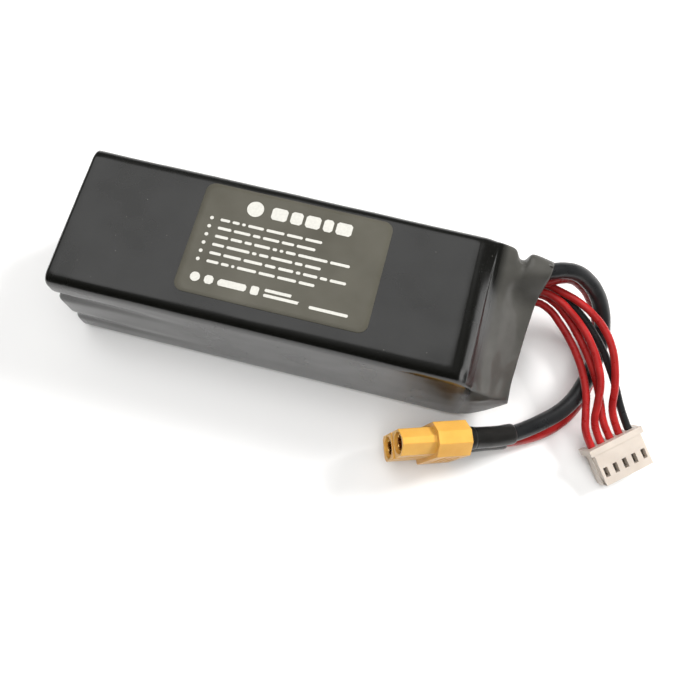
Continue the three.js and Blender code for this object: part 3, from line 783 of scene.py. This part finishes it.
def label_outline():
    """Points round the label, from its centre."""
    half = LABEL_SIZE / 2
    outline = []
    signs = ((1, -1, -90), (1, 1, 0), (-1, 1, 90), (-1, -1, 180))
    for sx, sy, start in signs:
        centre = Vector((sx * (half.x - LABEL_CORNER), sy * (half.y - LABEL_CORNER)))
        for k in range(LABEL_CORNER_STEPS + 1):
            angle = math.radians(start + 90 * k / LABEL_CORNER_STEPS)
            outline.append(centre + Vector((math.cos(angle), math.sin(angle))) * LABEL_CORNER)
    full = []
    for i, point in enumerate(outline):
        full.append(point)
        following = outline[(i + 1) % len(outline)]
        if (following - point).length > LABEL_CORNER:
            full.extend(point.lerp(following, k / LABEL_SIDE_STEPS) for k in range(1, LABEL_SIDE_STEPS))
    return full


def make_label(surfaces):
    outline = label_outline()

    def ring(share, lift):
        made = []
        for point in outline:
            x, y = LABEL_CENTRE + point * share
            made.append(Vector((x, y, film_top(x, y) + lift)) * MM)
        return made

    edge = 1 - LABEL_EDGE_CUT / LABEL_SIZE.y
    rings = [ring(1, SUNK), ring(1, LABEL_THICKNESS * 0.7), ring(edge, LABEL_THICKNESS)]
    rings += [ring(edge * (1 - k / LABEL_RINGS), LABEL_THICKNESS) for k in range(1, LABEL_RINGS)]
    under = [ring(1 - k / LABEL_RINGS, SUNK) for k in range(LABEL_RINGS - 1, 0, -1)]
    label = join_rings("label_sheet", under + rings, caps=True)
    face_outward(label)
    wear(label, surfaces["label"])
    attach(label, ROOT)
    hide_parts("label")


# Generic print, in millimetres from the label's rear near corner: plain dots, and rows of word-like bars.
TITLE_BARS = [(16.0, 3.6), (20.4, 2.7), (23.8, 3.4), (27.9, 2.2), (30.8, 3.6)]  # start and width
TITLE_HEIGHT = 3.0
TITLE_BASE = 21.2
TITLE_DOT_X = 12.2
TITLE_DOT_RADIUS = 1.9
ROW_WORDS = [
    [2.2, 1.6, 0.8, 3.6, 4.1, 3.6, 3.8],
    [3.1, 3.8, 1.7, 3.7, 2.8, 4.2],
    [3.0, 2.6, 1.6, 3.6, 1.0, 0.8, 2.2, 6.6, 4.4],
    [2.7, 5.2, 1.0, 2.1, 4.8, 1.7, 3.5],
    [2.6, 4.0, 4.2, 2.4, 3.4, 1.0, 3.2, 1.6, 3.6],
    [2.7, 1.7, 0.7, 4.3, 3.6, 4.2, 3.5],
]
ROW_LEFT = 5.4
ROW_TOP = 18.0
ROW_STEP = 2.05
ROW_HEIGHT = 0.66
WORD_GAP = 0.6
BULLET_X = 3.4
BULLET_RADIUS = 0.42
FOOT_DOT = (4.1, 3.9, 1.1)
# Blocks at the foot: start, base, width, height and corner cut. Lines at the foot: start, base and width.
FOOT_BLOCKS = [(6.2, 2.9, 2.0, 2.0, 0.5), (9.2, 3.1, 6.4, 1.6, 0.4), (16.6, 2.9, 1.8, 2.0, 0.3)]
FOOT_LINES = [(19.6, 4.2, 6.0), (19.6, 3.0, 9.2), (29.8, 2.7, 8.6)]
FOOT_LINE_HEIGHT = 0.7


def add_plate(bm, points):
    """A thin raised plate on the label, from an outline of points on the label in millimetres."""
    corner = LABEL_CENTRE - LABEL_SIZE / 2
    centre = sum((Vector(p) for p in points), Vector((0, 0))) / len(points) + corner
    base = film_top(centre.x, centre.y) + LABEL_THICKNESS
    layers = []
    for lift in (SUNK, PRINT_HEIGHT):
        layer = []
        for u, v in points:
            x, y = corner.x + u, corner.y + v
            layer.append(bm.verts.new(Vector((x, y, min(base + lift, PRINT_TOP_LIMIT))) * MM))
        layers.append(layer)
    count = len(points)
    bm.faces.new(reversed(layers[0]))
    bm.faces.new(layers[1])
    for i in range(count):
        j = (i + 1) % count
        bm.faces.new((layers[0][i], layers[0][j], layers[1][j], layers[1][i]))


def add_bar(bm, u, v, width, height, corner=0.2):
    """A bar with its lower rear corner at (u, v) and cut corners."""
    r = min(corner, width * 0.3, height * 0.45)
    right, top = u + width, v + height
    outline = [
        (u + r, v), (right - r, v), (right, v + r), (right, top - r),
        (right - r, top), (u + r, top), (u, top - r), (u, v + r),
    ]
    add_plate(bm, outline)


def add_dot(bm, u, v, radius, sides=16):
    add_plate(bm, circle(radius, sides, (u, v)))


def make_print(surfaces):
    bm = bmesh.new()
    for u, width in TITLE_BARS:
        add_bar(bm, u, TITLE_BASE, width, TITLE_HEIGHT, 0.5)
    add_dot(bm, TITLE_DOT_X, TITLE_BASE + TITLE_HEIGHT / 2, TITLE_DOT_RADIUS, 28)
    for row, words in enumerate(ROW_WORDS):
        v = ROW_TOP - ROW_STEP * row
        add_dot(bm, BULLET_X, v + ROW_HEIGHT / 2, BULLET_RADIUS)
        u = ROW_LEFT
        for word in words:
            add_bar(bm, u, v, word, ROW_HEIGHT)
            u += word + WORD_GAP
    add_dot(bm, *FOOT_DOT, 24)
    for block in FOOT_BLOCKS:
        add_bar(bm, *block)
    for u, v, width in FOOT_LINES:
        add_bar(bm, u, v, width, FOOT_LINE_HEIGHT)
    marks = object_from_bmesh("label_marks", bm)
    wear(marks, surfaces["print"])
    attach(marks, ROOT)


# ---- leads ----

WIRE_END_DEPTH = 1.1  # how far a balance wire goes on into its plug
CURVE_STEPS = 8


def make_cord(name, route, diameter, ahead=None):
    """A round cord through the route, in millimetres, going on a little past its end."""
    points = [Vector(point) for point in route]
    if ahead is not None:
        points.append(points[-1] + ahead)
    data = bpy.data.curves.new(name, "CURVE")
    data.dimensions = "3D"
    data.bevel_depth = diameter / 2 * MM
    data.bevel_resolution = CURVE_STEPS
    data.resolution_u = CURVE_STEPS
    data.use_fill_caps = True
    spline = data.splines.new("BEZIER")
    spline.bezier_points.add(len(points) - 1)
    for bezier, point in zip(spline.bezier_points, points):
        bezier.co = point * MM
        bezier.handle_left_type = "AUTO"
        bezier.handle_right_type = "AUTO"
    return link(bpy.data.objects.new(name, data))


def make_leads(surfaces):
    main = (
        ("negative", NEGATIVE_ROUTE, NEGATIVE_LENGTH, "black_silicone"),
        ("positive", POSITIVE_ROUTE, POSITIVE_LENGTH, "red_silicone"),
    )
    for pole, route, length, slot in main:
        cord = make_cord(f"lead_{pole}", route, MAIN_LEAD_DIAMETER)
        wear(cord, surfaces[slot])
        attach(cord, ROOT)
        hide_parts(f"main_lead_{pole}")
    inward = plug_matrix(BALANCE_PLUG).to_3x3() @ Vector((1, 0, 0)) / MM
    for i, (route, length) in enumerate(zip(BALANCE_ROUTES, BALANCE_LENGTHS)):
        slot = "black_silicone" if i == BALANCE_COUNT - 1 else "red_silicone"
        cord = make_cord(f"wire_{i + 1}", route, BALANCE_WIRE_DIAMETER, inward * WIRE_END_DEPTH)
        wear(cord, surfaces[slot])
        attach(cord, ROOT)
        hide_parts(f"balance_wire_{i + 1}")


# ---- power plug, in its own frame: X runs out of the mating face, Z joins the two contacts ----

POWER_BODY = {"width": 15.8, "thickness": 8.0, "chamfer": 2.6, "square_cut": 0.35}
POWER_NOSE = {"width": 13.8, "thickness": 6.0, "chamfer": 2.3, "square_cut": 0.9}
POWER_SHOULDER_X = -8.0
POWER_NOSE_ROOT = -8.5
GRIP_STARTS = (-14.6, -13.0, -11.4)
GRIP_WIDTH = 0.8
GRIP_DEPTH = 0.28
GRIP_LOW = -5.2
GRIP_HIGH = 3.6
SLIT_ROOT = -7
SLIT_HALF = 0.55
BORE_RADIUS = 2.5
BORE_SIDES = 56
CUTTER_EXCESS = 1  # how far the cutting bodies stand out of what they cut


def chamfered_outline(width, thickness, chamfer, square_cut):
    """A (y, z) outline with two large chamfers at the +Z end and two small cuts at the other."""
    y, z = thickness / 2, width / 2
    c, s = chamfer, square_cut
    return [
        (s - y, -z), (y - s, -z), (y, s - z), (y, z - c), (y - c, z), (c - y, z), (-y, z - c), (-y, s - z),
    ]


def make_power_housing(surfaces):
    body = prism_along_x("plug_housing", chamfered_outline(**POWER_BODY), POWER_REAR_X, POWER_SHOULDER_X)
    nose = prism_along_x("nose", chamfered_outline(**POWER_NOSE), POWER_NOSE_ROOT, 0)
    combine(body, nose, "UNION")
    half = POWER_BODY["thickness"] / 2
    for side in (-1, 1):
        for start in GRIP_STARTS:
            low = (start, side * half - GRIP_DEPTH, GRIP_LOW)
            high = (start + GRIP_WIDTH, side * half + GRIP_DEPTH, GRIP_HIGH)
            combine(body, box("grip_groove", low, high), "DIFFERENCE")
    beyond = half + CUTTER_EXCESS
    slit = box("slit", (SLIT_ROOT, -beyond, -SLIT_HALF), (CUTTER_EXCESS, beyond, SLIT_HALF))
    combine(body, slit, "DIFFERENCE")
    for side in (-1, 1):
        centre = (0, side * CONTACT_OFFSET)
        profile = [(POWER_REAR_X - CUTTER_EXCESS, BORE_RADIUS), (CUTTER_EXCESS, BORE_RADIUS)]
        combine(body, turn_along_x("bore", profile, BORE_SIDES, centre), "DIFFERENCE")
    soften_edges(body, 0.16, 3, 30)
    place(body, plug_matrix(POWER_PLUG))
    wear(body, surfaces["amber_nylon"])
    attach(body, ROOT)
    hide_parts("power_plug_housing")
    return body


# A contact's (x, radius) profile: the bore from its bottom, the mouth, the groove and the solder cup.
CONTACT_PROFILE = [
    (-10.6, 0.0), (-10.6, 1.7), (-0.9, 1.7), (-0.62, 1.82), (-0.6, 2.1), (-0.75, 2.25), (-8.2, 2.25),
    (-8.35, 2.1), (-8.9, 2.1), (-9.05, 2.25), (-15.9, 2.25), (-16.0, 2.0), (-19.1, 2.0), (-19.2, 1.9),
    (-19.2, 1.62), (-14.3, 1.6), (-14.3, 0.0),
]
CONTACT_SIDES = 48
CONTACT_SPLIT_ROOT = -6.5
CONTACT_SPLIT_HALF = 0.22
CONTACT_SPLIT_REACH = 3


def make_contact(surfaces, pole, side):
    """A turned socket with a split mouth and a solder cup."""
    contact = turn_along_x(f"contact_{pole}", CONTACT_PROFILE, CONTACT_SIDES)
    for turn in (45, 135):
        low = (CONTACT_SPLIT_ROOT, -CONTACT_SPLIT_HALF, -CONTACT_SPLIT_REACH)
        high = (CUTTER_EXCESS, CONTACT_SPLIT_HALF, CONTACT_SPLIT_REACH)
        cut = box("cut", low, high)
        cut.data.transform(Matrix.Rotation(math.radians(turn), 4, "X"))
        combine(contact, cut, "DIFFERENCE")
    soften_edges(contact, 0.06, 2, 40)
    move = Matrix.Translation((0, 0, side * CONTACT_OFFSET))
    place(contact, plug_matrix(POWER_PLUG) @ move)
    wear(contact, surfaces["gold"])
    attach(contact, ROOT)
    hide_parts(f"power_contact_{pole}")
    return contact


SLEEVE_SIDES = 40
SLEEVE_STEPS = 10
SLEEVE_INNER = 2.05
SLEEVE_OUTER = 2.62
SLEEVE_STARTS = (-16.15, -18.0, -19.8)
SLEEVE_ROUTE_POINTS = 2  # how many points of the lead's route the sleeve covers


def sleeve_radius(t, seed):
    """Outer radius along a shrunk sleeve, from the plug at 0 to the lead at 1."""
    cup = SLEEVE_OUTER - 0.16 / (1 + math.exp(-(t - 0.3) * 40))
    step = 0.16 * math.exp(-(((t - 0.27) / 0.022) ** 2))
    lead = 0.12 * max(0.0, t - 0.35)
    ripple = 0.03 * noise.noise(Vector((t * 14, seed, 0)))
    rim = 0.12 * max(0.0, 1 - (1 - t) / 0.02) + 0.15 * max(0.0, 1 - t / 0.02)
    return cup - step - lead + ripple - rim


def make_sleeve(surfaces, pole, side, route):
    to_object = plug_matrix(POWER_PLUG)
    start = [to_object @ Vector((x, 0, side * CONTACT_OFFSET)) / MM for x in SLEEVE_STARTS]
    along = [Vector(point) for point in reversed(route[-1 - SLEEVE_ROUTE_POINTS : -1])]
    frames = path_frames(catmull_rom(start + along, SLEEVE_STEPS))
    total = len(frames) - 1

    def ring(index, radius_of):
        centre, across, up = frames[index]
        made = []
        for k in range(SLEEVE_SIDES):
            angle = 2 * math.pi * k / SLEEVE_SIDES
            outward = across * math.cos(angle) + up * math.sin(angle)
            made.append((centre + outward * radius_of(index / total, angle)) * MM)
        return made

    def outer(t, angle):
        uneven = noise.noise(Vector((t * 5, math.cos(angle) * 2, math.sin(angle) * 2)))
        return sleeve_radius(t, side) + 0.03 * uneven

    rings = [ring(i, outer) for i in range(total + 1)]
    rings += [ring(i, lambda t, angle: SLEEVE_INNER) for i in range(total, -1, -1)]
    sleeve = join_rings(f"sleeve_{pole}", rings, ring_loop=True)
    face_outward(sleeve)
    wear(sleeve, surfaces["black_sleeve"])
    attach(sleeve, ROOT)
    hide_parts(f"contact_sleeve_{pole}")
    return sleeve


def make_power_plug(surfaces):
    housing = make_power_housing(surfaces)
    pieces = {}
    for pole, side, route in (("negative", 1, NEGATIVE_ROUTE), ("positive", -1, POSITIVE_ROUTE)):
        contact = make_contact(surfaces, pole, side)
        sleeve = make_sleeve(surfaces, pole, side, route)
        pieces[pole] = [housing, contact, sleeve]
    return pieces


# ---- balance plug, in its own frame: X runs out of the mating face, Y along the row of cavities ----

# Opposite corners of the solid parts.
BALANCE_BODY = ((BALANCE_REAR_X, -6.2, -2.6), (0, 6.2, 2.6))
BALANCE_FLANGE = ((BALANCE_REAR_X, -7, -2.85), (-7.5, 7, 2.85))
GUIDE_OFFSET = 6.0
GUIDE = ((-7.6, -0.45, -1.1), (-0.02, 0.45, 1.1))
# Opposite corners of what is cut away for each wire, about the middle of its cavity.
BALANCE_CUTS = [
    ("cavity", (-10, -0.95, -0.95), (1, 0.95, 0.95)),
    ("window", (-4.1, -0.55, 0.2), (-1.8, 0.55, 4)),
    ("notch", (-10, -0.7, -4), (-8.2, 0.7, 0)),
]


def shifted_box(name, low, high, y):
    return box(name, (low[0], y + low[1], low[2]), (high[0], y + high[1], high[2]))


def make_balance_housing(surfaces):
    body = box("balance_housing", *BALANCE_BODY)
    combine(body, box("flange", *BALANCE_FLANGE), "UNION")
    for side in (-1, 1):
        combine(body, shifted_box("guide", *GUIDE, side * GUIDE_OFFSET), "UNION")
    for i in range(BALANCE_COUNT):
        centre = (i - (BALANCE_COUNT - 1) / 2) * BALANCE_PITCH
        for name, low, high in BALANCE_CUTS:
            combine(body, shifted_box(name, low, high, centre), "DIFFERENCE")
    soften_edges(body, 0.1, 2, 30)
    place(body, plug_matrix(BALANCE_PLUG))
    wear(body, surfaces["ivory_nylon"])
    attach(body, ROOT)
    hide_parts("balance_plug_housing")
    return body


def make_balance_plug(surfaces):
    housing = make_balance_housing(surfaces)
    return [[housing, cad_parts[f"balance_terminal_{i + 1}"]] for i in range(BALANCE_COUNT)]


# ---- pieces carried over from the CAD ----

# The start of a node's name and its surface. Tabs are nickel, and the cells are pouch foil.
NODE_SURFACES = [
    ("balance_terminal", "tinned"),
    ("solder_joint", "solder"),
    ("cell_tape", "foam_tape"),
    ("stack_band", "polyimide"),
    ("top_guard", "fish_paper"),
    ("bottom_guard", "fish_paper"),
    ("board_insulator", "fish_paper"),
    ("balance_board", "board"),
    ("rear_pad", "foam_pad"),
]


def finish_for(name):
    if "_tab_" in name:
        return "nickel"
    for start, surface in NODE_SURFACES:
        if name.startswith(start):
            return surface
    return "pouch_foil"


def dress_nodes(surfaces, replaced):
    """Gives every CAD node that is not replaced its material."""
    for name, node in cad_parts.items():
        if name in replaced:
            continue
        material = surfaces[finish_for(name)].material
        for slot in node.material_slots:
            slot.material = material


# ---- stage ----

FLOOR_HALF = 1.6
# Brightness of the room by height (0 at the horizon) and from the -Y side (0) to the +Y side (1).
ROOM_BY_HEIGHT = [(0.0, 1.0), (0.08, 0.8), (0.26, 0.1), (0.7, 0.07), (0.95, 0.16)]
ROOM_BY_SIDE = [(0.0, 0.08), (0.3, 0.2), (0.5, 0.85), (0.75, 1.0)]
ROOM_STRENGTH = 1.1


def make_floor():
    corners = [(x * FLOOR_HALF, y * FLOOR_HALF, 0) for x, y in ((-1, -1), (1, -1), (1, 1), (-1, 1))]
    floor = object_from("floor", corners, [(0, 1, 2, 3)])
    surface = Surface("floor_white", (0.88, 0.875, 0.865), 0.75)
    surface.bump(surface.noise(40, detail=2), 0.02)
    wear(floor, surface)


def add_ramp(tree, value, stops):
    """A grey that follows a value through (value, brightness) stops."""
    ramp = tree.nodes.new("ShaderNodeValToRGB")
    while len(ramp.color_ramp.elements) < len(stops):
        ramp.color_ramp.elements.new(0.5)
    for element, (position, level) in zip(ramp.color_ramp.elements, stops):
        element.position = position
        element.color = (level, level, level, 1)
    tree.links.new(value, ramp.inputs["Fac"])
    return ramp.outputs["Color"]


def make_world():
    """A room that is bright near the horizon, darker above, and darker on the -Y side."""
    world = bpy.data.worlds.new("studio")
    bpy.context.scene.world = world
    world.use_nodes = True
    tree = world.node_tree
    coordinates = tree.nodes.new("ShaderNodeTexCoord")
    split = tree.nodes.new("ShaderNodeSeparateXYZ")
    tree.links.new(coordinates.outputs["Generated"], split.inputs["Vector"])
    height = add_ramp(tree, split.outputs["Z"], ROOM_BY_HEIGHT)
    shift = tree.nodes.new("ShaderNodeMath")
    shift.operation = "MULTIPLY_ADD"
    shift.inputs[1].default_value = 0.5
    shift.inputs[2].default_value = 0.5
    tree.links.new(split.outputs["Y"], shift.inputs[0])
    side = add_ramp(tree, shift.outputs[0], ROOM_BY_SIDE)
    product = tree.nodes.new("ShaderNodeMix")
    product.data_type = "RGBA"
    product.blend_type = "MULTIPLY"
    product.inputs[0].default_value = 1.0
    tree.links.new(height, product.inputs[6])
    tree.links.new(side, product.inputs[7])
    background = tree.nodes["Background"]
    tree.links.new(product.outputs[2], background.inputs["Color"])
    background.inputs["Strength"].default_value = ROOM_STRENGTH


def make_light(name, place_at, aim, size, power, in_gloss=True):
    """A rectangular light, in metres and watts, that may be left out of reflections."""
    data = bpy.data.lights.new(name, "AREA")
    data.shape = "RECTANGLE"
    data.size, data.size_y = size
    data.energy = power
    light = bpy.data.objects.new(name, data)
    light.location = place_at
    light.rotation_mode = "QUATERNION"
    light.rotation_quaternion = (Vector(aim) - Vector(place_at)).to_track_quat("-Z", "Y")
    light.visible_glossy = in_gloss
    link(light)


def make_lights():
    above = (-0.05, -0.18, 0.95)
    make_light("fill", above, aim=(0, 0, 0), size=(1.2, 1.0), power=11.0, in_gloss=False)
    far_above = (-0.17, 0.32, 0.75)
    make_light("ceiling", far_above, aim=(-0.05, 0, 0), size=(0.8, 0.45), power=1.32)
    front_above = (0.5, 0.4, 0.5)
    make_light("key", front_above, aim=(0.05, 0, 0.01), size=(0.25, 0.25), power=7.5, in_gloss=False)
    front_low = (0.65, 0.3, 0.1)
    make_light("side", front_low, aim=(0.05, 0, 0.02), size=(0.5, 0.16), power=0.2)


def main():
    scene = bpy.context.scene
    scene.view_settings.view_transform = "Standard"
    make_camera()
    surfaces = make_surfaces()
    power_pieces = make_power_plug(surfaces)
    balance_pieces = make_balance_plug(surfaces)
    make_leads(surfaces)
    make_film(surfaces)
    make_label(surfaces)
    make_print(surfaces)
    replaced = {"shrink_wrap", "label", "power_plug_housing", "balance_plug_housing"}
    dress_nodes(surfaces, replaced)
    make_floor()
    make_world()
    make_lights()


main()
